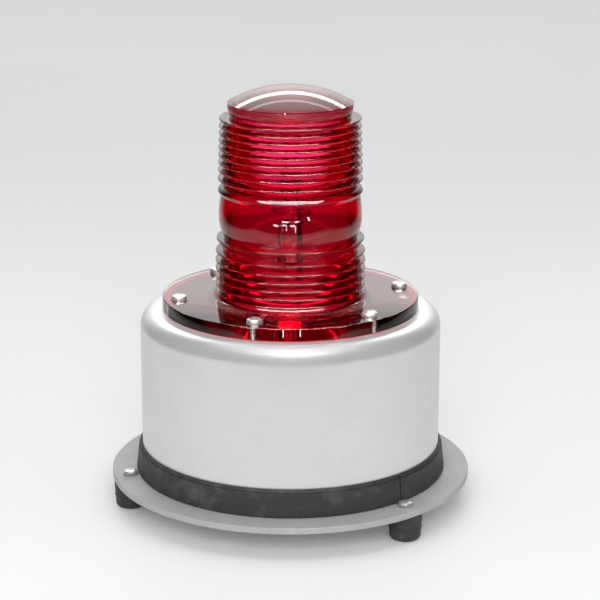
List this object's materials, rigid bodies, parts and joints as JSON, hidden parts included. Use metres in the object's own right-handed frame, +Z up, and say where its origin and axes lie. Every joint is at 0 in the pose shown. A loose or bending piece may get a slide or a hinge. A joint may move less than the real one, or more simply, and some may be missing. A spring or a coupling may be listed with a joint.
{
  "type": "strobe warning light",
  "caption": "Xenon flash beacon with a ribbed red glass lens, round silver can, rubber edge band and rubber feet.",
  "frame": {"origin": "on the floor, below the centre of the lens and of the base plate", "axes": "+Z up along the lens; +Y towards the cable entry at the back"},
  "size_m": [0.254, 0.254, 0.2964],
  "materials": {
    "plate_aluminium": "matt rolled sheet with turned edge, lightly marked",
    "can_aluminium": "satin silver paint-like spun finish",
    "band_rubber": "satin dark grey rubber",
    "foot_rubber": "matt black rubber with a moulding line",
    "seal_rubber": "matt black rubber",
    "gasket_rubber": "satin red sheet rubber",
    "deck_enamel": "white stoved enamel on sheet metal",
    "zinc_steel": "bright zinc plated steel",
    "screw_steel": "plated steel with rounded heads and cross slots",
    "red_glass": "pressed clear glass with a red layer in its wall and fire-polished ribs",
    "clear_glass": "clear thin-walled glass",
    "flash_glass": "clear quartz glass",
    "bakelite": "dark brown moulded base",
    "socket_ceramic": "off-white glazed steatite",
    "pin_brass": "bright turned brass",
    "rod_steel": "dark oxidised nickel steel",
    "trigger_copper": "dull tinned copper wire",
    "capacitor_sleeve": "shrunk sleeve on an aluminium can",
    "core_steel": "varnished steel laminations",
    "coil_wrap": "varnished wrapping paper over the winding",
    "board_laminate": "brown phenolic laminate with a lacquered face",
    "resistor_ceramic": "white cement-filled ceramic bodies",
    "black_plastic": "black moulded plastic",
    "orange_film": "dipped orange film capacitor",
    "coil_varnish": "wax-dipped brown winding",
    "blue_plastic": "blue moulded plastic",
    "white_plastic": "white moulded plastic",
    "clip_bronze": "tinned spring bronze",
    "cap_nickel": "nickel plated caps",
    "lead_red": "red insulated wire",
    "lead_black": "black insulated wire"
  },
  "bodies": {
    "housing": {"base_plate": "plate_aluminium", "feet": "foot_rubber", "foot_screws": "screw_steel", "foot_washers": "zinc_steel", "foot_nuts": "zinc_steel", "edge_band": "band_rubber", "can": "can_aluminium", "can_brackets": "zinc_steel", "lens_gasket": "gasket_rubber", "lens": "red_glass", "lens_screws": "screw_steel", "lens_washers": "zinc_steel", "lens_nuts": "zinc_steel", "cable_grommet": "seal_rubber", "cord_clamp": "black_plastic", "pillars": "zinc_steel", "tube_deck": "deck_enamel", "deck_screws": "screw_steel", "tube_socket": "socket_ceramic", "socket_screws": "screw_steel", "socket_nuts": "zinc_steel", "capacitors": "capacitor_sleeve", "capacitor_clamps": "zinc_steel", "transformer_core": "core_steel", "transformer_coil": "coil_wrap", "transformer_frame": "zinc_steel", "circuit_board": "board_laminate", "board_standoffs": "pin_brass", "board_screws": "screw_steel", "power_resistors": "resistor_ceramic", "diodes": "black_plastic", "thyristor": "black_plastic", "trigger_coil": "coil_varnish", "trigger_capacitor": "orange_film", "trimmer_body": "blue_plastic", "fuse_clips": "clip_bronze", "terminal_block": "white_plastic", "terminal_screws": "zinc_steel", "earth_stud": "pin_brass", "plate_screws": "screw_steel", "plate_nuts": "zinc_steel", "tube_leads": "lead_red", "supply_leads": "lead_black"},
    "flash_tube": {"tube_base": "bakelite", "tube_pins": "pin_brass", "tube_rods": "rod_steel", "trigger_wire": "trigger_copper", "tube_electrodes": "rod_steel", "flash_helix": "flash_glass"},
    "fuse": {"fuse_glass": "clear_glass", "fuse_ends": "cap_nickel"},
    "trimmer": {"trimmer_rotor": "white_plastic"}
  },
  "joints": [
    {"name": "tube_plug", "type": "slide", "parent": "housing", "child": "flash_tube", "axis": [0, 0, 1], "range_m": [0, 0.014]},
    {"name": "fuse_lift", "type": "slide", "parent": "housing", "child": "fuse", "axis": [0, 0, 1], "range_m": [0, 0.012]},
    {"name": "rate_trimmer", "type": "hinge", "parent": "housing", "child": "trimmer", "pos_m": [0.042, 0, 0.042], "axis": [0, 0, 1], "range_deg": [-135, 135]}
  ]
}
